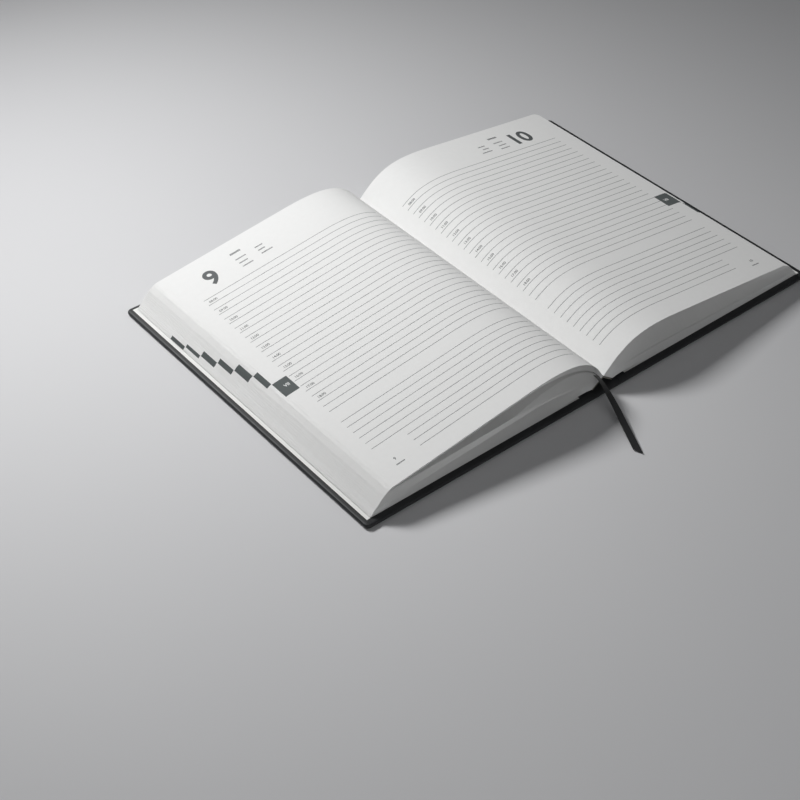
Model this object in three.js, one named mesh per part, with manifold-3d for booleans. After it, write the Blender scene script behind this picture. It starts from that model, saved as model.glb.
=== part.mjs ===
// Hard-cover page-a-day planner lying open on a table, with its ribbon marker hanging out at the tail.
// Millimetres. X runs across the spread (left page at -X), Y towards the head, Z up.
// The origin is the middle of the spine's underside, on the table.
import * as THREE from "three";
import { mergeVertices } from "three/addons/utils/BufferGeometryUtils.js";
import Module from "manifold-3d";

const wasm = await Module();
wasm.setup();
const cutMargin = 1; // how far a cutting solid runs past the face it opens

// Leaves and sections
const leafWidth = 149;
const leafHeight = 210;
const leafThickness = 0.1;
const sectionsPerHalf = 6;
const sectionPitch = 1.53;
const sectionGap = 0.17;
const sectionSpread = 1.758; // height of a section's share of the open stack, in pitches
const sectionThickness = sectionPitch - sectionGap;
const blockHalf = sectionsPerHalf * sectionPitch;

// Case: grey boards wrapped in black cloth
const boardThickness = 2;
const clothThickness = 0.3;
const wrapFit = 0.05;
const headSquare = 4;
const foreEdgeSquare = 2.1;
const turnInShown = 3;
const pastedownThickness = 0.2;
const flyleafThickness = 0.15;
const endpaperRoom = 0.32;
const jointWidth = 6.2;
const jointGap = 0.3;
const jointClothThickness = 0.8;
const spineBoardThickness = 1.5;
const spineBoardInset = 1.8;
const coverThickness = boardThickness + 2 * clothThickness;
const coverHeight = leafHeight + 2 * headSquare;
const closedBack = coverThickness + clothThickness; // back of the sections above the table, book shut
const hingeX = coverThickness / 2 + blockHalf + endpaperRoom;
const boardStart = hingeX + jointWidth;
const coverEdge = hingeX + closedBack + leafWidth + foreEdgeSquare - coverThickness / 2;

// Back of the block: two limbs that meet under the gutter like a roof
const limbAngle = THREE.MathUtils.degToRad(36);
const gutterRise = 6; // gutter above the inner face of the cover
const gutterHeight = coverThickness + gutterRise;
const liningThickness = 0.5;
const gutterHalfGap = 0.5;
const sewingRoom = 0.6;
const threadDiameter = 0.3;
const threadStations = 4;
const threadEndInset = 28;
const stitchStart = 0.06; // share of the limb, from its outer end, left clear of the stitches

// Curves of the leaves, as heights above the cover and distances from the spine
const wedgeHeight = 7; // air under the arched top section
const archPitches = 1.44; // height of the arched section, in pitches
const mainTopFall = 5.53; // how far each curve's straight stretch falls towards the fore-edge
const archLowFall = 12.63;
const archTopFall = 13.2;
const foldSteps = 22;
const bottomCurve = { rise: 14, reach: 8, foldX: 45, foldZ: 0.35, edgeZ: 0.35, lead: 20 };
const mainTopZ = bottomCurve.foldZ + (sectionsPerHalf - 1) * sectionPitch * sectionSpread;
const mainTopCurve = { rise: 57, reach: 13, foldX: 50, foldZ: mainTopZ, edgeZ: mainTopZ - mainTopFall, lead: 24 };
const archLowZ = mainTopZ + wedgeHeight;
const archLowCurve = { rise: 59, reach: 19, foldX: 58, foldZ: archLowZ, edgeZ: archLowZ - archLowFall, lead: 24 };
const archTopZ = archLowZ + archPitches * sectionPitch;
const archTopCurve = { rise: 59, reach: 22, foldX: 58, foldZ: archTopZ, edgeZ: archTopZ - archTopFall, lead: 25 };

// Turning leaf on the right-hand page
const leafBendX = 80;
const leafBendGap = 0.3;

// Ribbon marker
const ribbonWidth = 4;
const ribbonThickness = 0.3;
const ribbonArc = 6; // from the gutter to the ribbon's middle, along the leaf under it
const ribbonClearance = 0.3;
const ribbonExitLength = 3;
const ribbonGap = 0.3; // between the two free stretches
const ribbonStartGap = 0.85; // from the tail of the leaves to the free end
const ribbonLeadIn = 4; // how far inside the leaves the free end's route begins
const ribbonHeadInset = 1.5;
const ribbonTwistLength = 40; // over which the free end turns from the leaf's slope to lying flat
const ribbonSteps = 16;
const ribbonFall = [
  // distance past the tail of the leaves, x, z
  [4, -5.7, 10.9],
  [15, -8, 6.9],
  [30, -13.3, 2.9],
  [43, -18.6, 0.9],
  [49, -21.3, 0.45],
];

const materials = {
  cloth: new THREE.MeshStandardMaterial({ color: 0x17181a, roughness: 0.62, metalness: 0 }),
  board: new THREE.MeshStandardMaterial({ color: 0x8c8880, roughness: 0.9, metalness: 0 }),
  paper: new THREE.MeshStandardMaterial({ color: 0xe9e9e7, roughness: 0.88, metalness: 0 }),
  endpaper: new THREE.MeshStandardMaterial({ color: 0xe2e2df, roughness: 0.9, metalness: 0 }),
  lining: new THREE.MeshStandardMaterial({ color: 0xd8d5cb, roughness: 0.9, metalness: 0 }),
  thread: new THREE.MeshStandardMaterial({ color: 0xf0eee6, roughness: 0.8, metalness: 0 }),
  ribbon: new THREE.MeshStandardMaterial({ color: 0x1b1c20, roughness: 0.5, metalness: 0 }),
};

const planner = new THREE.Group();

function addPiece(name, geometry, material) {
  const mesh = new THREE.Mesh(geometry, material);
  mesh.name = name;
  planner.add(mesh);
  return mesh;
}

// A plate between two corners, given as [low, high] pairs.
function plate(x, y, z) {
  const low = [Math.min(...x), Math.min(...y), Math.min(...z)];
  const high = [Math.max(...x), Math.max(...y), Math.max(...z)];
  const geometry = new THREE.BoxGeometry(high[0] - low[0], high[1] - low[1], high[2] - low[2]);
  geometry.translate((low[0] + high[0]) / 2, (low[1] + high[1]) / 2, (low[2] + high[2]) / 2);
  return geometry;
}

// A profile of [x, z] points carried from the tail to the head.
function alongSpine(profile, height) {
  const shape = new THREE.Shape(profile.map(([x, z]) => new THREE.Vector2(x, z)));
  const geometry = new THREE.ExtrudeGeometry(shape, { depth: height, bevelEnabled: false });
  geometry.rotateX(Math.PI / 2);
  geometry.translate(0, height / 2, 0);
  return geometry;
}

function toSolid(geometry) {
  const bare = geometry.clone();
  bare.deleteAttribute("normal");
  bare.deleteAttribute("uv");
  const merged = mergeVertices(bare, 1e-4);
  return new wasm.Manifold(
    new wasm.Mesh({
      numProp: 3,
      vertProperties: new Float32Array(merged.attributes.position.array),
      triVerts: new Uint32Array(merged.index.array),
    }),
  );
}

function fromSolid(solid) {
  const mesh = solid.getMesh();
  const geometry = new THREE.BufferGeometry();
  geometry.setAttribute("position", new THREE.BufferAttribute(new Float32Array(mesh.vertProperties), 3));
  geometry.setIndex(new THREE.BufferAttribute(new Uint32Array(mesh.triVerts), 1));
  geometry.computeVertexNormals();
  return geometry;
}

// One cover: a board in its cloth, which turns in round three edges under the pastedown.
// side is -1 for the front cover and 1 for the back cover.
function addCover(label, side) {
  const halfHeight = coverHeight / 2;
  const boardEdge = coverEdge - clothThickness - wrapFit;
  const boardHalf = halfHeight - clothThickness - wrapFit;
  const boardLow = clothThickness + wrapFit;
  const boardHigh = coverThickness - clothThickness - wrapFit;
  const board = plate(
    [side * (boardStart + wrapFit), side * boardEdge],
    [-boardHalf, boardHalf],
    [boardLow, boardHigh],
  );
  addPiece(`${label}_board`, board, materials.board);

  const outer = toSolid(plate([side * boardStart, side * coverEdge], [-halfHeight, halfHeight], [0, coverThickness]));
  const cavity = toSolid(
    plate(
      [side * (boardStart - cutMargin), side * (boardEdge + wrapFit)],
      [-boardHalf - wrapFit, boardHalf + wrapFit],
      [clothThickness, coverThickness - clothThickness],
    ),
  );
  const window = toSolid(
    plate(
      [side * (boardStart - cutMargin), side * (coverEdge - turnInShown)],
      [turnInShown - halfHeight, halfHeight - turnInShown],
      [coverThickness / 2, coverThickness + cutMargin],
    ),
  );
  addPiece(`${label}_wrap`, fromSolid(outer.subtract(cavity).subtract(window)), materials.cloth);

  const pastedown = plate(
    [side * (boardStart + wrapFit), side * (coverEdge - turnInShown - wrapFit)],
    [turnInShown + wrapFit - halfHeight, halfHeight - turnInShown - wrapFit],
    [boardHigh + wrapFit, boardHigh + wrapFit + pastedownThickness],
  );
  addPiece(`${label}_pastedown`, pastedown, materials.endpaper);

  const flyleafLow = coverThickness + wrapFit;
  const flyleaf = plate(
    [side * boardStart, side * (coverEdge - foreEdgeSquare - headSquare)],
    [-leafHeight / 2, leafHeight / 2],
    [flyleafLow, flyleafLow + flyleafThickness],
  );
  addPiece(`${label}_flyleaf`, flyleaf, materials.endpaper);

  const joint = plate(
    [side * (hingeX + jointGap), side * (boardStart - wrapFit)],
    [-halfHeight, halfHeight],
    [0, jointClothThickness],
  );
  addPiece(`${label}_joint_cloth`, joint, materials.cloth);
}

function addSpine() {
  const halfHeight = coverHeight / 2;
  const wrapHalf = hingeX - jointGap;
  const wrap = plate([-wrapHalf, wrapHalf], [-halfHeight, halfHeight], [0, clothThickness]);
  addPiece("spine_wrap", wrap, materials.cloth);
  const boardHalf = hingeX - spineBoardInset;
  const boardLow = clothThickness + wrapFit;
  const board = plate(
    [-boardHalf, boardHalf],
    [clothThickness - halfHeight, halfHeight - clothThickness],
    [boardLow, boardLow + spineBoardThickness],
  );
  addPiece("spine_board", board, materials.board);
}

// Point of a limb's upper face: share is 0 at the limb's outer end and 1 at the gutter.
function limbPoint(share, lift) {
  const inward = new THREE.Vector2(Math.cos(limbAngle), Math.sin(limbAngle));
  const outward = new THREE.Vector2(-Math.sin(limbAngle), Math.cos(limbAngle));
  return new THREE.Vector2(0, gutterHeight)
    .addScaledVector(inward, -blockHalf * (1 - share))
    .addScaledVector(outward, lift);
}

// Shape of the leaf at a share of the half block, read between the curves of the main stack and the arch.
function curveAt(share) {
  const mainShare = (sectionsPerHalf - 1) / sectionsPerHalf;
  const inMain = share <= mainShare;
  const from = inMain ? bottomCurve : archLowCurve;
  const to = inMain ? mainTopCurve : archTopCurve;
  const mix = inMain ? share / mainShare : (share - mainShare) / (1 - mainShare);
  const read = (key) => THREE.MathUtils.lerp(from[key], to[key], mix);
  const foldX = read("foldX");
  const foldZ = read("foldZ");
  return {
    rise: THREE.MathUtils.degToRad(read("rise")),
    reach: read("reach"),
    lead: read("lead"),
    fold: new THREE.Vector2(-foldX, coverThickness + foldZ),
    tilt: Math.atan((foldZ - read("edgeZ")) / (leafWidth - foldX)),
  };
}

// Curved stretch of a leaf on the left, from the limb to where it runs straight.
function foldLine(share, startShare, offset) {
  const curve = curveAt(share);
  const outward = new THREE.Vector2(-Math.cos(curve.tilt), -Math.sin(curve.tilt));
  const upward = new THREE.Vector2(-Math.sin(curve.tilt), Math.cos(curve.tilt));
  const start = limbPoint(startShare, sewingRoom);
  const end = curve.fold.clone().addScaledVector(upward, offset);
  const startPull = new THREE.Vector2(-Math.cos(curve.rise), Math.sin(curve.rise)).multiplyScalar(curve.reach);
  const line = new THREE.CubicBezierCurve(
    start,
    start.clone().add(startPull),
    end.clone().addScaledVector(outward, -curve.lead),
    end,
  );
  return { line, outward, upward };
}

// Where a leaf's straight stretch ends: its full width, measured along the paper.
function foreEdge(share) {
  const { line, outward } = foldLine(share, share, 0);
  return line.v3.clone().addScaledVector(outward, leafWidth - line.getLength());
}

function mirrored(points, side) {
  return points.map((p) => [-side * p.x, p.y]);
}

// A straight run of paper from one point to another, thickness centred on the line.
function slabProfile(from, to, thickness) {
  const along = to.clone().sub(from).normalize();
  const across = new THREE.Vector2(-along.y, along.x).multiplyScalar(thickness / 2);
  return [from.clone().add(across), to.clone().add(across), to.clone().sub(across), from.clone().sub(across)];
}

// A section is one gathering of leaves: a folded stretch at the spine and a straight panel.
function addSection(number, order, side) {
  const label = `section_${String(number).padStart(2, "0")}`;
  const share = (order - 0.5) / sectionsPerHalf;
  const startHalf = (0.5 * sectionThickness) / blockHalf;
  const upper = foldLine(share, share + startHalf, sectionThickness / 2).line.getPoints(foldSteps);
  const lower = foldLine(share, share - startHalf, -sectionThickness / 2).line.getPoints(foldSteps);
  addPiece(`${label}_fold`, alongSpine(mirrored([...upper, ...lower.reverse()], side), leafHeight), materials.paper);

  const middle = foldLine(share, share, 0);
  const panelStart = middle.line.v3.clone().addScaledVector(middle.outward, sectionGap);
  const panel = slabProfile(panelStart, foreEdge(share), sectionThickness);
  addPiece(label, alongSpine(mirrored(panel, side), leafHeight), materials.paper);
}

// Mull and paper lining on a limb of the block's back, with the sewing thread above it.
function addLimb(label, side) {
  const nearGutter = 1 - gutterHalfGap / (blockHalf * Math.cos(limbAngle));
  const lining = [
    limbPoint(0, 0),
    limbPoint(nearGutter, 0),
    limbPoint(nearGutter, -liningThickness),
    limbPoint(0, -liningThickness),
  ];
  addPiece(`spine_lining_${label}`, alongSpine(mirrored(lining, side), leafHeight), materials.lining);

  const from = limbPoint(stitchStart, sewingRoom / 2);
  const to = limbPoint(nearGutter, sewingRoom / 2);
  const stitch = slabProfile(from, to, threadDiameter);
  const spacing = (leafHeight - 2 * threadEndInset) / (threadStations - 1);
  for (let station = 0; station < threadStations; station++) {
    const geometry = alongSpine(mirrored(stitch, side), threadDiameter);
    geometry.translate(0, threadEndInset - leafHeight / 2 + station * spacing, 0);
    addPiece(`sewing_thread_${label}_${station + 1}`, geometry, materials.thread);
  }
}

// The single leaf that turns: it lies on the right-hand stack and bends over at leafBendX.
function addTurningLeaf() {
  const top = foldLine(1, 1, 0);
  const upper = foldLine(1, 1 + (0.5 * leafThickness) / blockHalf, leafThickness / 2).line.getPoints(foldSteps);
  const lower = foldLine(1, 1 - (0.5 * leafThickness) / blockHalf, -leafThickness / 2).line.getPoints(foldSteps);
  addPiece("leaf_fold", alongSpine(mirrored([...upper, ...lower.reverse()], 1), leafHeight), materials.paper);
  const along = (x) => top.line.v3.clone().addScaledVector(top.outward, (-top.line.v3.x - x) / top.outward.x);
  const inner = slabProfile(
    top.line.v3.clone().addScaledVector(top.outward, sectionGap),
    along(leafBendX - leafBendGap / 2),
    leafThickness,
  );
  addPiece("leaf_inner", alongSpine(mirrored(inner, 1), leafHeight), materials.paper);
  const outer = slabProfile(along(leafBendX + leafBendGap / 2), foreEdge(1), leafThickness);
  addPiece("leaf_outer", alongSpine(mirrored(outer, 1), leafHeight), materials.paper);
}

// A thin flat band through points, with its width along the matching direction at each point.
function band(points, widths, thickness) {
  const positions = [];
  const faces = [];
  const last = points.length - 1;
  points.forEach((point, i) => {
    const along = points[Math.min(i + 1, last)].clone().sub(points[Math.max(i - 1, 0)]);
    const up = widths[i].clone().cross(along).normalize().multiplyScalar(-thickness / 2);
    const half = widths[i].clone().multiplyScalar(ribbonWidth / 2);
    positions.push(
      ...point.clone().sub(half).add(up).toArray(),
      ...point.clone().add(half).add(up).toArray(),
      ...point.clone().add(half).sub(up).toArray(),
      ...point.clone().sub(half).sub(up).toArray(),
    );
    if (i === last) return;
    for (let k = 0; k < 4; k++) {
      const [a, b] = [4 * i + k, 4 * i + ((k + 1) % 4)];
      faces.push(b, a, a + 4, b, a + 4, b + 4);
    }
  });
  const end = 4 * last;
  faces.push(0, 1, 2, 0, 2, 3, end + 2, end + 1, end, end + 3, end + 2, end);
  const geometry = new THREE.BufferGeometry();
  geometry.setAttribute("position", new THREE.BufferAttribute(new Float32Array(positions), 3));
  geometry.setIndex(faces);
  geometry.computeVertexNormals();
  return geometry;
}

// Where the ribbon lies on the main stack, under the arched section: its middle and the slope of the leaf.
function ribbonBed() {
  const lastMain = (sectionsPerHalf - 1.5) / sectionsPerHalf;
  const startHalf = (0.5 * sectionThickness) / blockHalf;
  const bed = foldLine(lastMain, lastMain + startHalf, sectionThickness / 2).line;
  const share = ribbonArc / bed.getLength();
  const slope = bed.getTangentAt(share);
  const normal = new THREE.Vector2(slope.y, -slope.x);
  const centre = bed.getPointAt(share).addScaledVector(normal, ribbonClearance + ribbonThickness / 2);
  return { centre, slope };
}

// The ribbon: a stretch on the main stack under the arched section, and the free end over the tail.
function addRibbon() {
  const { centre, slope } = ribbonBed();
  const halfRun = slope.clone().multiplyScalar(ribbonWidth / 2);
  const inner = slabProfile(centre.clone().sub(halfRun), centre.clone().add(halfRun), ribbonThickness);
  const geometry = alongSpine(mirrored(inner, -1), leafHeight - ribbonHeadInset);
  geometry.translate(0, -ribbonHeadInset / 2, 0);
  addPiece("ribbon_inner", geometry, materials.ribbon);

  const tail = -leafHeight / 2;
  const inside = new THREE.Vector3(centre.x, tail + ribbonLeadIn, centre.y);
  const start = new THREE.Vector3(centre.x, tail - ribbonStartGap, centre.y);
  const fall = ribbonFall.map(([past, x, z]) => new THREE.Vector3(x, tail - past, z));
  const route = new THREE.CatmullRomCurve3([inside, start, ...fall]);
  const first = inside.distanceTo(start);
  const total = route.getLength();
  const sloped = new THREE.Vector3(-slope.x, 0, -slope.y);
  const flat = new THREE.Vector3(1, 0, 0);
  const stretch = (from, to, steps) => {
    const points = [];
    const widths = [];
    for (let i = 0; i <= steps; i++) {
      const length = from + ((to - from) * i) / steps;
      const along = route.getTangentAt(length / total);
      const turned = THREE.MathUtils.smoothstep(length, first, first + ribbonTwistLength);
      const width = sloped.clone().lerp(flat, turned);
      points.push(route.getPointAt(length / total));
      widths.push(width.addScaledVector(along, -width.dot(along)).normalize());
    }
    return band(points, widths, ribbonThickness);
  };
  const bend = first + ribbonExitLength;
  addPiece("ribbon_exit", stretch(first, bend, 2), materials.ribbon);
  addPiece("ribbon_tail", stretch(bend + ribbonGap, total, ribbonSteps), materials.ribbon);
}

addSpine();
addCover("front", -1);
addCover("back", 1);
addLimb("left", -1);
addLimb("right", 1);
for (let order = 1; order <= sectionsPerHalf; order++) {
  addSection(order, order, -1);
  addSection(2 * sectionsPerHalf + 1 - order, order, 1);
}
addTurningLeaf();
addRibbon();

export default planner;
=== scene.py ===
from math import cos, pi, radians, sin

import bpy
import numpy as np
from mathutils import Matrix, Vector


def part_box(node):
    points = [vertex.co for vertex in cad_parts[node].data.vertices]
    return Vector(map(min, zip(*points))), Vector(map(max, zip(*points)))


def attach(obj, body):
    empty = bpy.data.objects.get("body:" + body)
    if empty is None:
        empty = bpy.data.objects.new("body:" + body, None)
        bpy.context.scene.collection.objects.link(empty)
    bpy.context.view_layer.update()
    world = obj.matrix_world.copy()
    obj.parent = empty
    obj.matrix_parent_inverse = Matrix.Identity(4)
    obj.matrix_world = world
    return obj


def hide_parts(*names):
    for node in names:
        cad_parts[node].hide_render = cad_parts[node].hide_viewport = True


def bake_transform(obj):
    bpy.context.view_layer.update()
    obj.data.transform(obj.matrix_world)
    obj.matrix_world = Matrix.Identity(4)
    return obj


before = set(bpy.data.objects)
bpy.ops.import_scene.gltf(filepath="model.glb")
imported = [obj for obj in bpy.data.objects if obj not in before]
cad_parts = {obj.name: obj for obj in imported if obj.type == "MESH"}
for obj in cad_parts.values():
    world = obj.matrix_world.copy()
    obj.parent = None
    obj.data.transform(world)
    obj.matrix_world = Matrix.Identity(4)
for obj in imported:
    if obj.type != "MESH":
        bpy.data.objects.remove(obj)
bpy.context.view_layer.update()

# Camera
# It stands above the tail of the left page and looks across the spread towards the gutter and the head.
# Its place, turn and lens come from the corners, the ruled lines and the spine joints of the real book.
MM = 0.001
aim = Vector((-89.92 * MM, -44.42 * MM, 0))
azimuth, elevation, roll = radians(-39.84), radians(41.32), radians(0.74)
camera_distance = 852.75 * MM
away = Vector((sin(azimuth) * cos(elevation), -cos(azimuth) * cos(elevation), sin(elevation)))
level = Vector((cos(azimuth), sin(azimuth), 0))
rise = away.cross(level)
across = level * cos(roll) + rise * sin(roll)
upwards = rise * cos(roll) - level * sin(roll)
camera = bpy.data.objects.new("camera", bpy.data.cameras.new("camera"))
bpy.context.scene.collection.objects.link(camera)
camera.data.sensor_width = 36
camera.data.lens = 72.34
camera.data.clip_start = 0.05
turn = Matrix((across, upwards, away)).transposed().to_4x4()
camera.matrix_world = Matrix.Translation(aim + away * camera_distance) @ turn
bpy.context.scene.camera = camera

# Ribbon marker
# A 4 mm satin ribbon of black polyester, woven with fine cross ribs and sealed along both edges. It is
# glued in at the head, lies between two leaves along the gutter and hangs out at the tail, where it turns
# from the leaf's slope to lying flat on the table and ends in a slanting cut.
ribbon_width = 4 * MM
ribbon_thickness = 0.3 * MM
ribbon_slope = radians(-30.9)
ribbon_route = [
    (-5.83, -104.6, 12.56),
    (-5.83, -105.85, 12.54),
    (-5.7, -109.0, 10.9),
    (-8.0, -120.0, 6.9),
    (-13.3, -135.0, 2.9),
    (-18.6, -148.0, 0.9),
    (-21.3, -154.0, 0.45),
]


def to_linear(code):
    """A colour written as sRGB hex, as Blender's linear numbers."""
    channels = [int(code[i : i + 2], 16) / 255 for i in (1, 3, 5)]
    return [c / 12.92 if c <= 0.04045 else ((c + 0.055) / 1.055) ** 2.4 for c in channels] + [1.0]


def add_node(material, kind, values=None, links=None, **settings):
    """One shader node with its settings, its socket values and the sockets that feed it."""
    tree = material.node_tree
    node = tree.nodes.new(kind)
    for name, value in settings.items():
        setattr(node, name, value)
    for socket, value in (values or {}).items():
        node.inputs[socket].default_value = value
    for socket, source in (links or {}).items():
        tree.links.new(source, node.inputs[socket])
    return node


def new_material(name, **shader_values):
    """A material with a Principled shader; returns it and the shader node."""
    material = bpy.data.materials.new(name)
    material.use_nodes = True
    shader = material.node_tree.nodes["Principled BSDF"]
    for socket, value in shader_values.items():
        shader.inputs[socket.replace("_", " ")].default_value = value
    return material, shader


def feed(material, shader, **sources):
    """Links node outputs to the shader's sockets."""
    for socket, source in sources.items():
        material.node_tree.links.new(source, shader.inputs[socket.replace("_", " ")])


def deselect():
    if bpy.context.mode != "OBJECT":
        bpy.ops.object.mode_set(mode="OBJECT")
    bpy.ops.object.select_all(action="DESELECT")


def name_active(name):
    piece = bpy.context.object
    piece.name = name
    piece.data.name = name
    return piece


def flat_sheet(name, length, width, steps, across_steps=1):
    """A flat sheet in XY, from x = 0 to its length, with a UV map that runs 0 to 1 over it."""
    deselect()
    bpy.ops.mesh.primitive_grid_add(
        x_subdivisions=steps, y_subdivisions=across_steps, size=1, location=(length / 2, 0, 0)
    )
    bpy.context.object.scale = (length, width, 1)
    bpy.ops.object.transform_apply(location=True, rotation=True, scale=True)
    return name_active(name)


def draw_path(name, knots, tilts=None):
    """A Bezier curve; each knot is its left handle, point and right handle in mm, or the point alone."""
    deselect()
    bpy.ops.curve.primitive_bezier_curve_add(location=(0, 0, 0))
    path = name_active(name)
    path.data.dimensions = "3D"
    path.data.twist_mode = "Z_UP"
    path.data.resolution_u = 24
    spline = path.data.splines[0]
    spline.bezier_points.add(len(knots) - len(spline.bezier_points))
    for i, (point, knot) in enumerate(zip(spline.bezier_points, knots)):
        smooth = len(knot) == 3 and not hasattr(knot[0], "__len__")
        point.handle_left_type = point.handle_right_type = "AUTO" if smooth else "FREE"
        left, middle, right = (knot, knot, knot) if smooth else knot
        point.co = Vector(middle) * MM
        if not smooth:
            point.handle_left = Vector(left) * MM
            point.handle_right = Vector(right) * MM
        point.tilt = tilts[i] if tilts else 0
    return path


def apply_modifier(piece, kind, **settings):
    bpy.context.view_layer.objects.active = piece
    modifier = piece.modifiers.new(kind.title(), kind)
    for name, value in settings.items():
        setattr(modifier, name, value)
    bpy.ops.object.modifier_apply(modifier=modifier.name)


def bend_along(piece, path):
    """The flat piece is laid along the path, its length kept."""
    apply_modifier(piece, "CURVE", object=path, deform_axis="POS_X")


def points_of(path):
    """The path's own points, as the bent pieces follow it."""
    line = path.evaluated_get(bpy.context.evaluated_depsgraph_get()).to_mesh()
    return np.array([v.co for v in line.vertices])


def length_of(path):
    return float(np.linalg.norm(np.diff(points_of(path), axis=0), axis=1).sum())


ribbon_path = draw_path(
    "ribbon_path",
    ribbon_route,
    [ribbon_slope * s for s in (1, 1, 0.93, 0.55, 0.15, 0, 0)],
)
ribbon_line = points_of(ribbon_path)
ribbon_length = length_of(ribbon_path)

satin, satin_shader = new_material("black_satin_ribbon", Roughness=0.42, Sheen_Weight=0.25)
satin_shader.inputs["Specular IOR Level"].default_value = 0.42
satin_uv = add_node(satin, "ShaderNodeTexCoord").outputs["UV"]
# Ribs of 0.45 mm across the ribbon, a little coarser than real ones so that they show, catch the light
# as faint cross lines, and a slow cloud keeps the black from being even.
ribs = add_node(
    satin,
    "ShaderNodeTexWave",
    {"Scale": ribbon_length / (0.45 * MM) / 20, "Distortion": 0.15, "Detail": 1.0},
    {"Vector": satin_uv},
    bands_direction="X",
)
ribbon_cloud = add_node(
    satin,
    "ShaderNodeTexNoise",
    {"Scale": 60.0, "Detail": 3.0},
    {"Vector": add_node(satin, "ShaderNodeTexCoord").outputs["Object"]},
)
satin_colour = add_node(
    satin,
    "ShaderNodeMix",
    {6: to_linear("#0B0B0E"), 7: to_linear("#131417")},
    {0: ribbon_cloud.outputs["Fac"]},
    data_type="RGBA",
)
satin_bump = add_node(
    satin, "ShaderNodeBump", {"Strength": 0.35, "Distance": 0.05 * MM}, {"Height": ribs.outputs["Fac"]}
)
feed(satin, satin_shader, Base_Color=satin_colour.outputs[2], Normal=satin_bump.outputs["Normal"])

ribbon_end = flat_sheet("ribbon_free_end", ribbon_length, ribbon_width, 44, 2)
bpy.ops.object.mode_set(mode="EDIT")
bpy.ops.mesh.select_all(action="SELECT")
bpy.ops.mesh.bisect(
    plane_co=(ribbon_length, ribbon_width / 2, 0),
    plane_no=(1, -1, 0),
    clear_outer=True,
)
bpy.ops.object.mode_set(mode="OBJECT")
bend_along(ribbon_end, ribbon_path)
apply_modifier(ribbon_end, "SOLIDIFY", thickness=ribbon_thickness, offset=0)
ribbon_end.data.materials.append(satin)
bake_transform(ribbon_end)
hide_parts("ribbon_exit", "ribbon_tail")

low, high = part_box("ribbon_inner")
ribbon_inside = flat_sheet("ribbon_in_gutter", high.y - low.y, ribbon_width, 30, 2)
ribbon_inside.matrix_world = (
    Matrix.Translation(((low.x + high.x) / 2, low.y, (low.z + high.z) / 2))
    @ Matrix.Rotation(-ribbon_slope, 4, "Y")
    @ Matrix.Rotation(radians(90), 4, "Z")
)
bpy.ops.object.transform_apply(location=True, rotation=True, scale=True)
apply_modifier(ribbon_inside, "SOLIDIFY", thickness=ribbon_thickness, offset=0)
ribbon_inside.data.materials.append(satin)
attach(ribbon_inside, "spine_limb_left")
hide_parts("ribbon_inner")

# Table and light
# A pale matt table top, wide enough to fill every view. A small soft lamp behind the head of the left page
# gives the dark shadow at the tail, its narrow beam the fall-off; a wide one in front fills the tail faces.
deselect()
bpy.ops.mesh.primitive_plane_add(size=7, location=(0, 0, -0.2 * MM))
table = name_active("table_top")
laminate, laminate_shader = new_material("matt_laminate_table", Roughness=0.62)
laminate_cloud = add_node(
    laminate,
    "ShaderNodeTexNoise",
    {"Scale": 3.0, "Detail": 4.0},
    {"Vector": add_node(laminate, "ShaderNodeTexCoord").outputs["Object"]},
)
laminate_colour = add_node(
    laminate,
    "ShaderNodeMix",
    {6: to_linear("#CACACC"), 7: to_linear("#D0D0D1")},
    {0: laminate_cloud.outputs["Fac"]},
    data_type="RGBA",
)
feed(laminate, laminate_shader, Base_Color=laminate_colour.outputs[2])
table.data.materials.append(laminate)


def add_softbox(name, place, target, size, power):
    light = bpy.data.objects.new(name, bpy.data.lights.new(name, "AREA"))
    bpy.context.scene.collection.objects.link(light)
    light.data.shape = "RECTANGLE"
    light.data.size, light.data.size_y = size
    light.data.energy = power
    light.location = place
    light.rotation_euler = (Vector(target) - Vector(place)).to_track_quat("-Z", "Y").to_euler()
    light.visible_camera = False
    return light


key_softbox = add_softbox("key_softbox", (-0.22, 0.52, 0.58), (-0.09, -0.02, 0), (0.22, 0.22), 1.95)
key_softbox.data.spread = radians(100)
add_softbox("front_fill", (-0.35, -1.0, 0.45), (0, 0, 0), (0.9, 0.9), 2.5)
add_softbox("ceiling_light", (0, 0.1, 2.2), (0, 0, 0), (2, 2), 1.0)
room = bpy.data.worlds.new("room")
bpy.context.scene.world = room
room.use_nodes = True
room.node_tree.nodes["Background"].inputs["Color"].default_value = to_linear("#E9ECEF")
room.node_tree.nodes["Background"].inputs["Strength"].default_value = 0.08
bpy.context.scene.view_settings.view_transform = "Standard"

# Covers
# Each cover is a 2 mm grey board wrapped in black leatherette, a coated paper embossed with a fine grain.
# The leatherette is turned in at the fore-edge, head and tail and rubbed down, so the edges come out soft.
joint_x = 17.0 * MM
edge_x = 163.4981 * MM
cover_half = 109 * MM
cover_thickness = 2.6 * MM
cloth_thickness = 0.3 * MM
edge_rounding = 1.05 * MM
corner_rounding = 2.8 * MM
turn_in = 3 * MM
lining_tail, lining_head = -105 * MM, 106.8 * MM


def select_edges(piece, wanted):
    """Selects the edges of the piece in edit mode for which wanted(first end, second end) is true."""
    bpy.ops.object.mode_set(mode="EDIT")
    bpy.ops.mesh.select_mode(type="EDGE")
    bpy.ops.mesh.select_all(action="DESELECT")
    bpy.ops.object.mode_set(mode="OBJECT")
    corner = piece.data.vertices
    for edge in piece.data.edges:
        edge.select = wanted(corner[edge.vertices[0]].co, corner[edge.vertices[1]].co)
    bpy.ops.object.mode_set(mode="EDIT")


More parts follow.
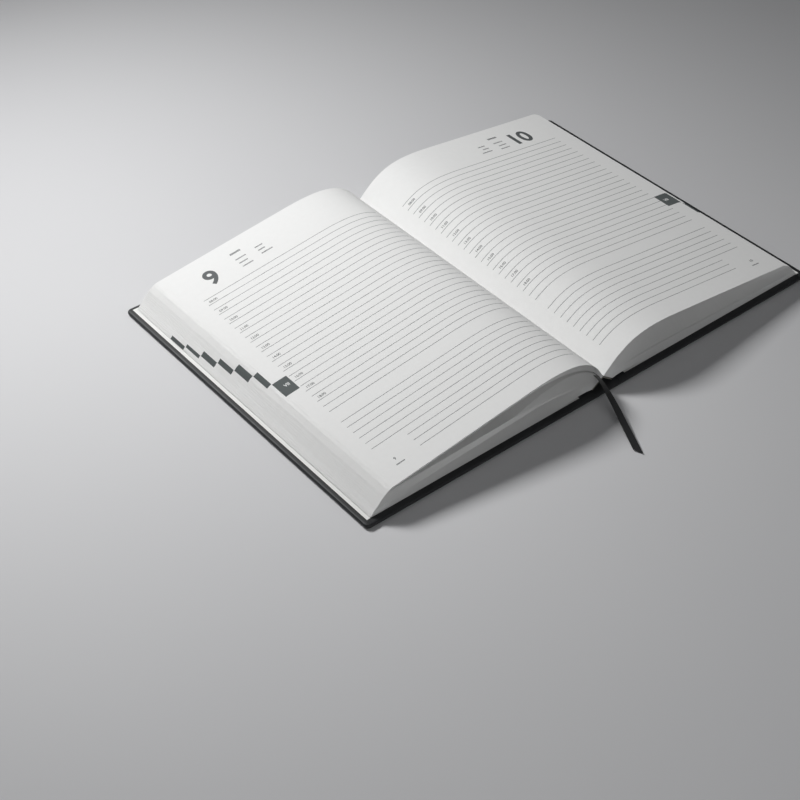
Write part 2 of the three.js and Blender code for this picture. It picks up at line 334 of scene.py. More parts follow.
def select_faces(piece, wanted):
    """Selects the faces of the piece in edit mode for which wanted(centre, normal) is true."""
    bpy.ops.object.mode_set(mode="EDIT")
    bpy.ops.mesh.select_mode(type="FACE")
    bpy.ops.mesh.select_all(action="DESELECT")
    bpy.ops.object.mode_set(mode="OBJECT")
    for face in piece.data.polygons:
        face.select = wanted(face.center, face.normal)
    bpy.ops.object.mode_set(mode="EDIT")


def box_between(name, low, high):
    deselect()
    low, high = Vector(low), Vector(high)
    bpy.ops.mesh.primitive_cube_add(size=1, location=(low + high) / 2)
    bpy.context.object.scale = high - low
    bpy.ops.object.transform_apply(location=True, rotation=True, scale=True)
    return name_active(name)


def mirrored_copy(piece, name):
    """A copy of a left-hand piece for the right-hand side, with its own mesh and its faces outward."""
    deselect()
    copy = piece.copy()
    copy.data = piece.data.copy()
    for key in list(copy.keys()):
        if key.startswith("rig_"):
            del copy[key]
    bpy.context.scene.collection.objects.link(copy)
    copy.name = copy.data.name = name
    copy.select_set(True)
    bpy.context.view_layer.objects.active = copy
    copy.scale.x = -1
    bpy.ops.object.transform_apply(location=True, rotation=True, scale=True)
    bpy.ops.object.mode_set(mode="EDIT")
    bpy.ops.mesh.select_all(action="SELECT")
    bpy.ops.mesh.normals_make_consistent(inside=False)
    bpy.ops.object.mode_set(mode="OBJECT")
    return copy


def round_off(angle=35):
    """Smooth shading with sharp creases kept, on the active piece."""
    bpy.ops.object.mode_set(mode="OBJECT")
    bpy.ops.object.shade_smooth_by_angle(angle=radians(angle))


leatherette, leatherette_shader = new_material("embossed_black_leatherette", Roughness=0.5)
leatherette_shader.inputs["Specular IOR Level"].default_value = 0.4
leatherette_place = add_node(leatherette, "ShaderNodeTexCoord").outputs["Object"]
# The embossing is a pebble grain of about 0.6 mm with finer pores of 0.2 mm between; the hollows hold
# less light and the high spots are rubbed a little greyer and shinier.
pebbles = add_node(
    leatherette,
    "ShaderNodeTexVoronoi",
    {"Scale": 1 / (0.6 * MM), "Randomness": 0.9},
    {"Vector": leatherette_place},
    feature="SMOOTH_F1",
)
pores = add_node(
    leatherette,
    "ShaderNodeTexNoise",
    {"Scale": 1 / (0.2 * MM), "Detail": 2.0},
    {"Vector": leatherette_place},
)
handling = add_node(
    leatherette,
    "ShaderNodeTexNoise",
    {"Scale": 1 / (25 * MM), "Detail": 5.0, "Roughness": 0.6},
    {"Vector": leatherette_place},
)
grain_height = add_node(
    leatherette,
    "ShaderNodeMath",
    {2: 0.25},
    {0: pebbles.outputs["Distance"], 1: pores.outputs["Fac"]},
    operation="SMOOTH_MIN",
)
leatherette_colour = add_node(
    leatherette,
    "ShaderNodeMix",
    {6: to_linear("#1A1B1D"), 7: to_linear("#2B2D2F")},
    {0: handling.outputs["Fac"]},
    data_type="RGBA",
)
leatherette_rough = add_node(
    leatherette,
    "ShaderNodeMapRange",
    {"From Min": 0.3, "From Max": 0.7, "To Min": 0.46, "To Max": 0.58},
    {"Value": handling.outputs["Fac"]},
)
leatherette_bump = add_node(
    leatherette,
    "ShaderNodeBump",
    {"Strength": 0.5, "Distance": 0.06 * MM},
    {"Height": grain_height.outputs[0]},
)
feed(
    leatherette,
    leatherette_shader,
    Base_Color=leatherette_colour.outputs[2],
    Roughness=leatherette_rough.outputs[0],
    Normal=leatherette_bump.outputs["Normal"],
)

front_case = box_between(
    "front_cover_leatherette", (-edge_x, -cover_half, 0), (-joint_x, cover_half, cover_thickness)
)
select_edges(front_case, lambda a, b: abs(a.z - b.z) > 1 * MM and a.x < -edge_x + 1 * MM)
bpy.ops.mesh.bevel(offset=corner_rounding, segments=8, affect="EDGES")
select_edges(
    front_case,
    lambda a, b: abs(a.z - b.z) < 0.1 * MM and min(a.x, b.x) < -joint_x - 1 * MM,
)
bpy.ops.mesh.bevel(offset=edge_rounding, segments=4, affect="EDGES")
select_faces(front_case, lambda centre, normal: normal.x > 0.99)
bpy.ops.mesh.delete(type="FACE")
select_faces(front_case, lambda centre, normal: normal.z > 0.99 and centre.z > 2.5 * MM)
bpy.ops.mesh.inset(thickness=turn_in - edge_rounding, use_boundary=False)
lining_middle = (lining_head + lining_tail) / 2
bpy.ops.transform.resize(value=(1, (lining_head - lining_tail) / 2 / (cover_half - turn_in), 1))
bpy.ops.transform.translate(value=(0, lining_middle, 0))
bpy.ops.mesh.delete(type="FACE")
bpy.ops.object.mode_set(mode="OBJECT")
apply_modifier(front_case, "SOLIDIFY", thickness=cloth_thickness, offset=-1)
round_off()
front_case.data.materials.append(leatherette)
back_case = mirrored_copy(front_case, "back_cover_leatherette")
for case, side in ((front_case, "front"), (back_case, "back")):
    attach(case, f"{side}_cover")
    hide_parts(f"{side}_wrap")

greyboard, greyboard_shader = new_material("pressed_greyboard", Roughness=0.92)
# Greyboard is pressed waste paper: a dull grey-brown with darker flecks of about 0.7 mm.
flecks = add_node(
    greyboard,
    "ShaderNodeTexNoise",
    {"Scale": 1 / (0.7 * MM), "Detail": 4.0, "Roughness": 0.7},
    {"Vector": add_node(greyboard, "ShaderNodeTexCoord").outputs["Object"]},
)
greyboard_colour = add_node(
    greyboard,
    "ShaderNodeMix",
    {6: to_linear("#77736C"), 7: to_linear("#A29D93")},
    {0: flecks.outputs["Fac"]},
    data_type="RGBA",
)
greyboard_bump = add_node(
    greyboard, "ShaderNodeBump", {"Strength": 0.3, "Distance": 0.05 * MM}, {"Height": flecks.outputs["Fac"]}
)
feed(
    greyboard,
    greyboard_shader,
    Base_Color=greyboard_colour.outputs[2],
    Normal=greyboard_bump.outputs["Normal"],
)


def give(node, material):
    """A CAD node whose shape is right keeps it and gets this material."""
    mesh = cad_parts[node].data
    mesh.materials.clear()
    mesh.materials.append(material)


give("spine_board", greyboard)
low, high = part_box("front_board")
front_core = box_between("front_cover_greyboard", low, high)
select_edges(front_core, lambda a, b: abs(a.z - b.z) > 1 * MM and a.x < -edge_x + 2 * MM)
bpy.ops.mesh.bevel(offset=corner_rounding, segments=8, affect="EDGES")
bpy.ops.object.mode_set(mode="OBJECT")
front_core.data.materials.append(greyboard)
back_core = mirrored_copy(front_core, "back_cover_greyboard")
for core, side in ((front_core, "front"), (back_core, "back")):
    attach(core, f"{side}_cover")
    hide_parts(f"{side}_board")

# Endpapers
# Heavy uncoated white paper. The pastedown is glued over the board and the edge of the turned-in
# leatherette; the flyleaf is its other half and lies loose on it.
endpaper, endpaper_shader = new_material("heavy_uncoated_endpaper", Roughness=0.9)
endpaper_place = add_node(endpaper, "ShaderNodeTexCoord").outputs["Object"]
# The pulp clouds slightly over a few millimetres and the surface has a tooth of about 0.3 mm.
pulp = add_node(
    endpaper,
    "ShaderNodeTexNoise",
    {"Scale": 1 / (5 * MM), "Detail": 6.0, "Roughness": 0.65},
    {"Vector": endpaper_place},
)
tooth = add_node(
    endpaper, "ShaderNodeTexNoise", {"Scale": 1 / (0.3 * MM), "Detail": 3.0}, {"Vector": endpaper_place}
)
endpaper_colour = add_node(
    endpaper,
    "ShaderNodeMix",
    {6: to_linear("#E4E4E1"), 7: to_linear("#ECECEA")},
    {0: pulp.outputs["Fac"]},
    data_type="RGBA",
)
endpaper_bump = add_node(
    endpaper, "ShaderNodeBump", {"Strength": 0.15, "Distance": 0.03 * MM}, {"Height": tooth.outputs["Fac"]}
)
feed(
    endpaper,
    endpaper_shader,
    Base_Color=endpaper_colour.outputs[2],
    Normal=endpaper_bump.outputs["Normal"],
)
low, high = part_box("front_pastedown")
front_lining = box_between(
    "front_pastedown_sheet", (turn_in - edge_x, lining_tail, low.z), (high.x, lining_head, high.z)
)
front_lining.data.materials.append(endpaper)
back_lining = mirrored_copy(front_lining, "back_pastedown_sheet")
for sheet, side in ((front_lining, "front"), (back_lining, "back")):
    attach(sheet, f"{side}_cover")
    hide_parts(f"{side}_pastedown")
    give(f"{side}_flyleaf", endpaper)

# Spine and joints
# The spine is a stiff strip in the same leatherette, turned in 15 mm at head and tail. Between it and the
# boards the doubled leatherette fills each joint as a low flat roll with rounded ends.
spine_half = 10.5 * MM
spine_thickness = 2.2 * MM
spine_case = box_between(
    "spine_leatherette", (-spine_half, -cover_half, 0), (spine_half, cover_half, spine_thickness)
)
select_edges(spine_case, lambda a, b: abs(a.y - b.y) < 0.1 * MM and abs(a.z - b.z) < 0.1 * MM)
bpy.ops.mesh.bevel(offset=0.9 * MM, segments=4, affect="EDGES")
select_faces(spine_case, lambda centre, normal: normal.z > 0.99 and centre.z > 2 * MM)
bpy.ops.mesh.inset(thickness=1.6 * MM)
bpy.ops.transform.resize(value=(1, (cover_half - 15 * MM) / (cover_half - 2.3 * MM), 1))
bpy.ops.mesh.delete(type="FACE")
bpy.ops.object.mode_set(mode="OBJECT")
apply_modifier(spine_case, "SOLIDIFY", thickness=cloth_thickness, offset=-1)
round_off()
spine_case.data.materials.append(leatherette)
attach(spine_case, "spine")
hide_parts("spine_wrap")

front_roll = box_between(
    "front_joint_roll", (-17.1 * MM, -cover_half, 0), (-10.45 * MM, cover_half, 2.5 * MM)
)
select_edges(front_roll, lambda a, b: abs(a.y - b.y) < 0.1 * MM and abs(a.z - b.z) < 0.1 * MM)
bpy.ops.mesh.bevel(offset=0.95 * MM, segments=4, affect="EDGES")
bpy.ops.mesh.select_all(action="SELECT")
for cut_x in (-15.2, -14.0, -12.8):
    bpy.ops.mesh.bisect(plane_co=(cut_x * MM, 0, 0), plane_no=(1, 0, 0))
    bpy.ops.mesh.select_all(action="SELECT")
bpy.ops.object.mode_set(mode="OBJECT")
round_off()
front_roll.data.materials.append(leatherette)
back_roll = mirrored_copy(front_roll, "back_joint_roll")
for roll_piece, side, sign in ((front_roll, "front", -1), (back_roll, "back", 1)):
    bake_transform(roll_piece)
    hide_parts(f"{side}_joint_cloth")

# Back of the block
# The sewn back is lined with open cotton mull and paper under glue, and the linen thread runs along
# each fold at four stations. When the book lies open the back stands up like a roof over the spine.
mull, mull_shader = new_material("glued_mull_lining", Roughness=0.85)
mull_place = add_node(mull, "ShaderNodeTexCoord").outputs["Object"]
# Mull is a gauze with a thread every 0.9 mm, seen as a faint square weave through dried glue.
mull_threads = [
    add_node(
        mull,
        "ShaderNodeTexWave",
        {"Scale": 1 / (0.9 * MM) / 20, "Distortion": 0.6, "Detail Scale": 4.0},
        {"Vector": mull_place},
        bands_direction=direction,
    ).outputs["Fac"]
    for direction in ("X", "Y")
]
weave = add_node(
    mull, "ShaderNodeMath", None, {0: mull_threads[0], 1: mull_threads[1]}, operation="MAXIMUM"
)
mull_colour = add_node(
    mull,
    "ShaderNodeMix",
    {6: to_linear("#5F5C56"), 7: to_linear("#86827A")},
    {0: weave.outputs[0]},
    data_type="RGBA",
)
mull_bump = add_node(
    mull, "ShaderNodeBump", {"Strength": 0.5, "Distance": 0.1 * MM}, {"Height": weave.outputs[0]}
)
feed(mull, mull_shader, Base_Color=mull_colour.outputs[2], Normal=mull_bump.outputs["Normal"])
linen, linen_shader = new_material("waxed_linen_thread", Roughness=0.7)
# Plied linen thread has a twist of about 0.5 mm that shows as slanting ridges.
ply = add_node(
    linen,
    "ShaderNodeTexWave",
    {"Scale": 1 / (0.5 * MM) / 20, "Distortion": 0.4},
    {"Vector": add_node(linen, "ShaderNodeTexCoord").outputs["Object"]},
    bands_direction="DIAGONAL",
)
linen_colour = add_node(
    linen,
    "ShaderNodeMix",
    {6: to_linear("#D9D4C4"), 7: to_linear("#F1EEE4")},
    {0: ply.outputs["Fac"]},
    data_type="RGBA",
)
linen_bump = add_node(
    linen, "ShaderNodeBump", {"Strength": 0.5, "Distance": 0.05 * MM}, {"Height": ply.outputs["Fac"]}
)
feed(linen, linen_shader, Base_Color=linen_colour.outputs[2], Normal=linen_bump.outputs["Normal"])
for half in ("left", "right"):
    give(f"spine_lining_{half}", mull)
    for station in range(1, 5):
        give(f"sewing_thread_{half}_{station}", linen)

# Leaves
# 192 leaves of white uncoated writing paper in twelve sewn sections of sixteen, six on each side. Each
# leaf is a flat sheet bent from the sewn back up over its neighbours and down to the fore-edge, so the
# stack steps at the fore-edge. The leaves are printed on both sides with grey rules and a month square.
leaf_height, leaf_thickness = 210.0, 0.075
sections, leaves_per_section = 6, 16
limb_angle = radians(36)
limb_length = 9.18
gutter_height = 8.6
sewing_lift = 0.5
top_leaf_inset = 0.9
# The leaf's curve at some shares of the stack: slope in degrees and reach at the gutter, place of the fold,
# its lead, and place of the fore-edge. Both stacks part at a third, the left also under its top section.
left_curves = [
    (0.0, 14, 8.0, 45.0, 2.95, 20.0, 158.4, 2.95),
    (1 / 3, 42, 3.9, 51.7, 12.5, 20.2, 155.5, 6.1),
    (1 / 3, 42, 3.9, 51.7, 12.95, 20.2, 155.4, 6.2),
    (3 / 4, 52.8, 29.3, 64.3, 15.16, 8.0, 149.7, 12.3),
    (5 / 6, 55, 34.4, 66.8, 15.6, 5.6, 147.3, 13.8),
    (5 / 6, 59, 19.1, 57.8, 25.63, 25.4, 147.1, 13.95),
    (1.0, 65, 22.3, 55.6, 27.09, 27.6, 144.7, 15.1),
]
right_curves = [
    (0.0, 14, 8.0, 45.0, 2.95, 20.0, 158.4, 2.95),
    (1 / 3, 38, 7.2, 51.6, 9.54, 22.0, 155.5, 6.1),
    (1 / 3, 38, 7.2, 51.6, 10.14, 22.0, 155.4, 6.2),
    (3 / 4, 43, 15.5, 52.9, 19.6, 27.3, 149.7, 12.3),
    (1.0, 46, 20.5, 53.6, 25.29, 30.4, 144.7, 15.1),
]


def limb_point(share, lift):
    """A point over the sewn back: share 0 at its outer end, 1 at the gutter."""
    back = limb_length * (1 - share)
    return (
        -back * cos(limb_angle) - lift * sin(limb_angle),
        gutter_height - back * sin(limb_angle) + lift * cos(limb_angle),
    )


def leaf_knots(share, curves, lift=0.0, inset=0.0):
    """The leaf's curve in XZ, from the fore-edge to the gutter, at a share of its stack, as a left leaf."""
    for below, above in zip(curves, curves[1:]):
        if below[0] < above[0] and below[0] <= share <= above[0]:
            mix = (share - below[0]) / (above[0] - below[0])
            row = [lower + (upper - lower) * mix for lower, upper in zip(below, above)]
    _, slope, reach, fold_x, fold_z, lead, edge_x, edge_z = row
    gutter = np.array(limb_point(share, sewing_lift))
    leave = gutter + reach * np.array([-cos(radians(slope)), sin(radians(slope))])
    fold = np.array([-fold_x, fold_z + lift])
    edge = np.array([-edge_x, edge_z + 0.3 * lift])
    outward = (edge - fold) / np.linalg.norm(edge - fold)
    edge = edge - inset * outward
    arrive = fold - lead * outward
    third = (edge - fold) / 3
    knots = [(edge, edge, edge - third), (fold + third, fold, arrive), (leave, gutter, gutter)]
    return [[(p[0], 0, p[1]) for p in knot] for knot in knots]


def bent_leaf(name, knots, steps=40):
    """One leaf, printed side up, bent along its curve; U runs from the fore-edge to the gutter."""
    path = draw_path(name + "_curve", knots)
    leaf = flat_sheet(name, length_of(path), leaf_height * MM, steps)
    bend_along(leaf, path)
    apply_modifier(leaf, "SOLIDIFY", thickness=leaf_thickness * MM, offset=0)
    bpy.data.objects.remove(path)
    return leaf


def join_pieces(pieces, name):
    deselect()
    for piece in pieces:
        piece.select_set(True)
    bpy.context.view_layer.objects.active = pieces[0]
    bpy.ops.object.join()
    return name_active(name)


shown_month, month_step = 7, 12.95
left_month_y, right_month_y = -12.5, -17.1
month_ends = (31, 59, 90, 120, 151, 181, 212, 243, 273, 304, 334)


def mark_print(piece, day, on_right):
    """Stores on each point the side its page lies on and how far up the page the month square is, in mm."""
    month = 1 + sum(day > end for end in month_ends)
    month_y = (right_month_y if on_right else left_month_y) - month_step * (month - shown_month)
    mark = piece.data.attributes.new("print_place", "FLOAT_VECTOR", "POINT")
    place = np.tile(np.array([on_right, month_y, 0], np.float32), len(piece.data.vertices))
    mark.data.foreach_set("vector", place)


paper, paper_shader = new_material("white_writing_paper", Roughness=0.88)
paper_shader.inputs["Specular IOR Level"].default_value = 0.3
page_width = 150.5
page_place = add_node(paper, "ShaderNodeTexCoord").outputs["UV"]
page_mm = add_node(
    paper,
    "ShaderNodeVectorMath",
    {1: (page_width, leaf_height, 1)},
    {0: page_place},
    operation="MULTIPLY",
)
page_axes = add_node(paper, "ShaderNodeSeparateXYZ", None, {0: page_mm.outputs[0]})
from_edge = page_axes.outputs["X"]
up_page = add_node(
    paper, "ShaderNodeMath", {1: leaf_height / 2}, {0: page_axes.outputs["Y"]}, operation="SUBTRACT"
).outputs[0]


def figure(operation, first, second=0.0, third=0.0):
    """A sum on the page's own measures; each term is a number or another node's output."""
    terms = {0: first, 1: second, 2: third}
    return add_node(
        paper,
        "ShaderNodeMath",
        {i: v for i, v in terms.items() if isinstance(v, (int, float))},
        {i: v for i, v in terms.items() if not isinstance(v, (int, float))},
        operation=operation,
    ).outputs[0]


# The rules are 0.38 mm wide and 5.04 mm apart: 34 places from the day number down, the 25th left out and
# the last three begun 19 mm further in. The print sits a little askew, so their start runs from 9.6 mm off
# the fore-edge at the head to 7.4 mm at the tail. Right-hand pages are printed 1.6 mm higher.
first_rule, rule_step, rule_width = 72.7, 5.036, 0.38
rule_start, print_skew = 8.65, 0.0135
right_print_lift = 1.6
rule_stop, right_rule_stop = 131.7, 138.2
month_height, month_width, right_month_width = 12.4, 7.7, 8.5
print_place = add_node(paper, "ShaderNodeAttribute", attribute_name="print_place").outputs["Vector"]
print_axes = add_node(paper, "ShaderNodeSeparateXYZ", None, {0: print_place})
on_right = print_axes.outputs["X"]
up_print = figure("SUBTRACT", up_page, figure("MULTIPLY", on_right, right_print_lift))
rule_at = figure("DIVIDE", figure("SUBTRACT", first_rule, up_print), rule_step)
rule_number = figure("ROUND", rule_at)
off_rule = figure("MULTIPLY", figure("ABSOLUTE", figure("SUBTRACT", rule_at, rule_number)), rule_step)
short_rule = figure("GREATER_THAN", rule_number, 30.5)
start_line = figure("MULTIPLY_ADD", up_page, print_skew, rule_start)
on_rule = figure("LESS_THAN", off_rule, rule_width / 2)
for kept in (
    figure("GREATER_THAN", rule_number, -0.5),
    figure("LESS_THAN", rule_number, 33.5),
    figure("GREATER_THAN", figure("ABSOLUTE", figure("SUBTRACT", rule_number, 24.0)), 0.5),
    figure("GREATER_THAN", from_edge, figure("MULTIPLY_ADD", short_rule, 19.0, start_line)),
    figure(
        "LESS_THAN", from_edge, figure("MULTIPLY_ADD", on_right, right_rule_stop - rule_stop, rule_stop)
    ),
):
    on_rule = figure("MULTIPLY", on_rule, kept)
off_month = figure("ABSOLUTE", figure("SUBTRACT", up_page, print_axes.outputs["Y"]))
month_reach = figure("MULTIPLY_ADD", on_right, right_month_width - month_width, month_width)
on_month = figure(
    "MULTIPLY",
    figure("LESS_THAN", off_month, month_height / 2),
    figure("LESS_THAN", from_edge, month_reach),
)
# Writing paper clouds faintly over a few millimetres and has a soft tooth of about 0.35 mm.
page_cloud = add_node(
    paper,
    "ShaderNodeTexNoise",
    {"Scale": 0.3, "Detail": 6.0, "Roughness": 0.6},
    {"Vector": page_mm.outputs[0]},
)
page_tooth = add_node(
    paper, "ShaderNodeTexNoise", {"Scale": 2.8, "Detail": 3.0}, {"Vector": page_mm.outputs[0]}
)
bare_page = add_node(
    paper,
    "ShaderNodeMix",
    {6: to_linear("#E5E5E4"), 7: to_linear("#EBEBEA")},
    {0: page_cloud.outputs["Fac"]},
    data_type="RGBA",
)
ruled_page = add_node(
    paper,
    "ShaderNodeMix",
    {7: to_linear("#878989")},
    {0: on_rule, 6: bare_page.outputs[2]},
    data_type="RGBA",
)
printed_page = add_node(
    paper,
    "ShaderNodeMix",
    {7: to_linear("#5C6161")},
    {0: on_month, 6: ruled_page.outputs[2]},
    data_type="RGBA",
)
page_bump = add_node(
    paper,
    "ShaderNodeBump",
    {"Strength": 0.12, "Distance": 0.03 * MM},
    {"Height": page_tooth.outputs["Fac"]},
)
feed(paper, paper_shader, Base_Color=printed_page.outputs[2], Normal=page_bump.outputs["Normal"])

# No two leaves lie quite alike: each is lifted and drawn in a little, which gives the fore-edge its strata.
chance = np.random.default_rng(19)
lift_spread, inset_spread = 0.015, 0.07
first_right_day = 193
leaves_per_half = sections * leaves_per_section
top_share = 1 - 0.5 / leaves_per_half
page_steps, inner_leaf_steps = 80, 44


def gathered_section(order, curves, number):
    """Sixteen leaves, one over the other, as a left-hand section; order counts from the bottom."""
    gathering = []
    for place in range(leaves_per_section):
        leaf_number = (order - 1) * leaves_per_section + place
        share = (leaf_number + 0.5) / leaves_per_half
        on_top = leaf_number == leaves_per_half - 1
        lift = 0.0 if on_top else float(chance.normal(0, lift_spread))
        inset = top_leaf_inset if on_top else float(chance.normal(0, inset_spread))
        knots = leaf_knots(share, curves, lift, inset)
        leaf = bent_leaf(f"leaf_{number}_{place}", knots, page_steps if on_top else inner_leaf_steps)
        if number > sections:
            mark_print(leaf, first_right_day + 2 * (leaves_per_half - 1 - leaf_number), True)
        else:
            mark_print(leaf, max(1, 2 * leaf_number - 1), False)
        gathering.append(leaf)
    section = join_pieces(gathering, f"section_{number:02d}_leaves")
    section.data.materials.append(paper)
    round_off()
    return section


def hinge_section(piece):
    """Bakes the piece's place into its mesh."""
    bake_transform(piece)


for number in range(1, 2 * sections + 1):
    if number <= sections:
        section = gathered_section(number, left_curves, number)
    else:
        as_left = gathered_section(2 * sections + 1 - number, right_curves, number)
        section = mirrored_copy(as_left, "mirrored_section")
        bpy.data.objects.remove(as_left)
        section.name = section.data.name = f"section_{number:02d}_leaves"
    hinge_section(section)
    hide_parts(f"section_{number:02d}", f"section_{number:02d}_fold")

# Turning leaf
# The next leaf to be turned lies on top of the right-hand stack. It is the same paper; it leaves the
# gutter like its neighbours and is cut in two at 60 mm from the gutter, a part at the gutter and an outer
# part.
turning_knots = leaf_knots(1.0, right_curves, 0.05, top_leaf_inset)
turning_leaf = bent_leaf("turning_leaf", turning_knots, 100)
mark_print(turning_leaf, first_right_day - 2, True)
turning_leaf.data.materials.append(paper)
round_off()
turning_leaf = mirrored_copy(turning_leaf, "turning_leaf_outer")
bpy.data.objects.remove(bpy.data.objects["turning_leaf"])
split_x = 60 * MM


def cut_at(piece, x, keep_right):
    """Keeps one side of the piece at x and closes the cut."""
    deselect()
    piece.select_set(True)
    bpy.context.view_layer.objects.active = piece
    bpy.ops.object.mode_set(mode="EDIT")
    bpy.ops.mesh.select_all(action="SELECT")
    bpy.ops.mesh.bisect(
        plane_co=(x, 0, 0),
        plane_no=(1, 0, 0),
        clear_inner=keep_right,
        clear_outer=not keep_right,
        use_fill=True,
    )
    round_off()


turning_root = turning_leaf.copy()
turning_root.data = turning_leaf.data.copy()
turning_root.name = turning_root.data.name = "turning_leaf_at_gutter"
bpy.context.scene.collection.objects.link(turning_root)
cut_at(turning_root, split_x, False)
cut_at(turning_leaf, split_x, True)


def hinge_turning(piece, outer):
    """Bakes the piece's place into its mesh, alike for the outer part and the part at the gutter."""
    if outer:
        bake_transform(piece)
    else:
        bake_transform(piece)


hinge_turning(turning_root, False)
hinge_turning(turning_leaf, True)
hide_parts("leaf_fold", "leaf_inner")
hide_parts("leaf_outer")

# Printing
# Each day page carries its number, the hours from 8 to 18 beside every second rule, grey lines of small
# print and the month's Roman number on its square. The ink is a film of 0.02 mm on the paper.
ink, ink_shader = new_material("dark_grey_offset_ink", Roughness=0.7)
white_ink, white_shader = new_material("paper_white_knockout", Roughness=0.85)
# Offset ink soaks into the paper, so it shows the tooth of the sheet as a fine mottle of 0.25 mm.
for ink_material, ink_node, darker, lighter in (
    (ink, ink_shader, "#4A4D4E", "#5F6364"),
    (white_ink, white_shader, "#E2E3E3", "#EFEFEF"),
):
    mottle = add_node(
        ink_material,
        "ShaderNodeTexNoise",
        {"Scale": 1 / (0.25 * MM), "Detail": 2.0},
        {"Vector": add_node(ink_material, "ShaderNodeTexCoord").outputs["Object"]},
    )
    ink_colour = add_node(
        ink_material,
        "ShaderNodeMix",
        {6: to_linear(darker), 7: to_linear(lighter)},
        {0: mottle.outputs["Fac"]},
        data_type="RGBA",
    )
    feed(ink_material, ink_node, Base_Color=ink_colour.outputs[2])
ink_film = 0.02
figure_share = 0.73


def printed_text(words, x, y, height, weight=0.0):
    """Set type as a thin film in the flat page's plane, its figures this high, centred on x and y."""
    deselect()
    bpy.ops.object.text_add(location=(0, 0, 0))
    text = bpy.context.object
    text.data.body = words
    text.data.size = height / figure_share * MM
    text.data.offset = weight * MM
    text.data.resolution_u = 6
    text.data.extrude = ink_film / 2 * MM
    bpy.ops.object.convert(target="MESH")
    bpy.ops.object.origin_set(type="ORIGIN_GEOMETRY", center="BOUNDS")
    text = bpy.context.object
    ratio = height * MM / text.dimensions.y
    text.scale = (ratio, ratio, 1)
    text.location = (x * MM, y * MM, (leaf_thickness / 2 + ink_film * 0.4) * MM)
    bpy.ops.object.transform_apply(location=True, rotation=True, scale=True)
    bpy.ops.object.mode_set(mode="EDIT")
    bpy.ops.mesh.select_all(action="SELECT")
    bpy.ops.mesh.remove_doubles(threshold=0.002 * MM)
    bpy.ops.object.mode_set(mode="OBJECT")
    return bpy.context.object


def small_print(centre_x, y, length, height):
    """A line of print too small to read: upright strokes at the pace of its letters."""
    stroke, pace = 0.42, 0.6
    low_z = (leaf_thickness / 2 - ink_film * 0.1) * MM
    x = centre_x - length / 2
    line = box_between(
        "small_print",
        (x * MM, (y - height / 2) * MM, low_z),
        ((x + stroke) * MM, (y + height / 2) * MM, low_z + ink_film * MM),
    )
    apply_modifier(
        line,
        "ARRAY",
        count=round(length / pace),
        use_relative_offset=False,
        use_constant_offset=True,
        constant_offset_displace=(pace * MM, 0, 0),
    )
    return line


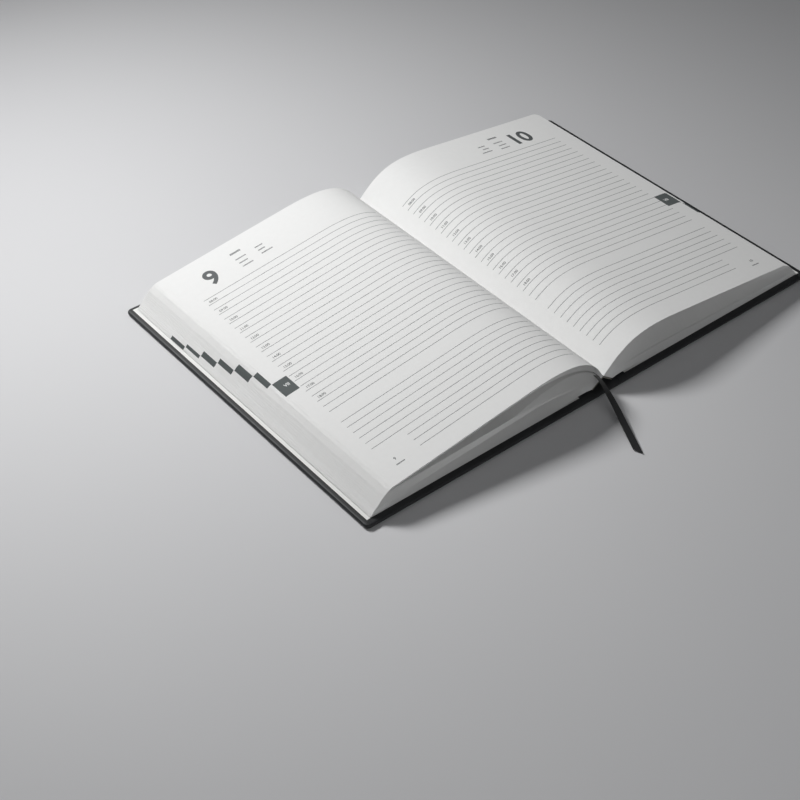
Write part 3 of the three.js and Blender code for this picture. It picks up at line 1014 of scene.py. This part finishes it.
def day_print(day, fore_edge_left):
    """The print of one day page in its flat plane, x from the page's left side; and its month number."""

    def off_edge(distance):
        return distance if fore_edge_left else turning_length - distance

    number_middle = 24.4 if day < 10 else 28.4
    pieces = [printed_text(str(day), off_edge(number_middle), 86.0, 13.0, 0.5)]
    for hour in range(11):
        y = first_rule - rule_step * (2 * hour + 0.57)
        if fore_edge_left:
            x = 13.24 + 0.0124 * y
        else:
            x, y = 17.8, y + right_print_lift
        pieces.append(printed_text(f"{hour + 8:02d}:00", x, y, 1.72, 0.03))
    for middle, y, length, height in (
        (46.2, 94.0, 7.2, 1.5),
        (46.2, 88.2, 7.4, 0.9),
        (45.6, 84.4, 6.2, 0.9),
        (46.2, 80.8, 7.4, 0.9),
        (59.4, 89.0, 5.6, 0.9),
        (58.9, 85.6, 4.6, 0.9),
        (60.4, 82.2, 7.6, 0.9),
        (12.8, -95.3, 5.6, 0.8),
    ):
        pieces.append(small_print(off_edge(middle), y, length, height))
    pieces.append(printed_text(str(day), off_edge(12.1), -91.3, 1.9, 0.03))
    page = join_pieces(pieces, f"print_day_{day}")
    page.data.materials.clear()
    page.data.materials.append(ink)
    if fore_edge_left:
        month = printed_text("VII", 4.1, -11.9, 2.2, 0.05)
    else:
        month = printed_text("VII", off_edge(4.3), right_month_y, 2.2, 0.05)
    name_active(f"print_month_{day}")
    month.data.materials.clear()
    month.data.materials.append(white_ink)
    return page, month


def lay_on(pieces, path):
    for piece in pieces:
        deselect()
        piece.select_set(True)
        bend_along(piece, path)


def turn_under(pieces):
    """Turns the flat print over, on to the back of the leaf that is drawn from the gutter."""
    for piece in pieces:
        deselect()
        piece.select_set(True)
        bpy.context.view_layer.objects.active = piece
        piece.matrix_world = Matrix.Translation((turning_length * MM, 0, 0)) @ Matrix.Rotation(pi, 4, "Y")
        bpy.ops.object.transform_apply(location=True, rotation=True, scale=True)


def right_hand(knots):
    """The mirrored curve, drawn from the gutter to the fore-edge."""
    return [[(-p[0], 0, p[2]) for p in reversed(knot)] for knot in reversed(knots)]


left_path = draw_path("left_page_curve", leaf_knots(top_share, left_curves, 0.0, top_leaf_inset))
right_path = draw_path("right_page_curve", right_hand(turning_knots))
next_knots = leaf_knots(top_share, right_curves, 0.0, top_leaf_inset)
under_path = draw_path("next_page_curve", right_hand(next_knots))
turning_length = length_of(right_path) / MM
left_print = day_print(9, True)
right_print = day_print(10, False)
back_print = day_print(11, True)
next_print = day_print(12, False)
turn_under(back_print)
lay_on(left_print, left_path)
lay_on(right_print, right_path)
lay_on(back_print, right_path)
lay_on(next_print, under_path)
for piece in left_print:
    hinge_section(piece)
for piece in next_print:
    hinge_section(piece)
for page in (right_print, back_print):
    for piece in page:
        box = np.array([v.co for v in piece.data.vertices])
        if box[:, 0].min() >= split_x:
            hinge_turning(piece, True)
        elif box[:, 0].max() <= split_x:
            hinge_turning(piece, False)
        else:
            inner = piece.copy()
            inner.data = piece.data.copy()
            inner.name = inner.data.name = piece.name + "_at_gutter"
            bpy.context.scene.collection.objects.link(inner)
            cut_at(inner, split_x, False)
            cut_at(piece, split_x, True)
            hinge_turning(inner, False)
            hinge_turning(piece, True)
for path in (left_path, right_path, under_path, ribbon_path):
    bpy.data.objects.remove(path)
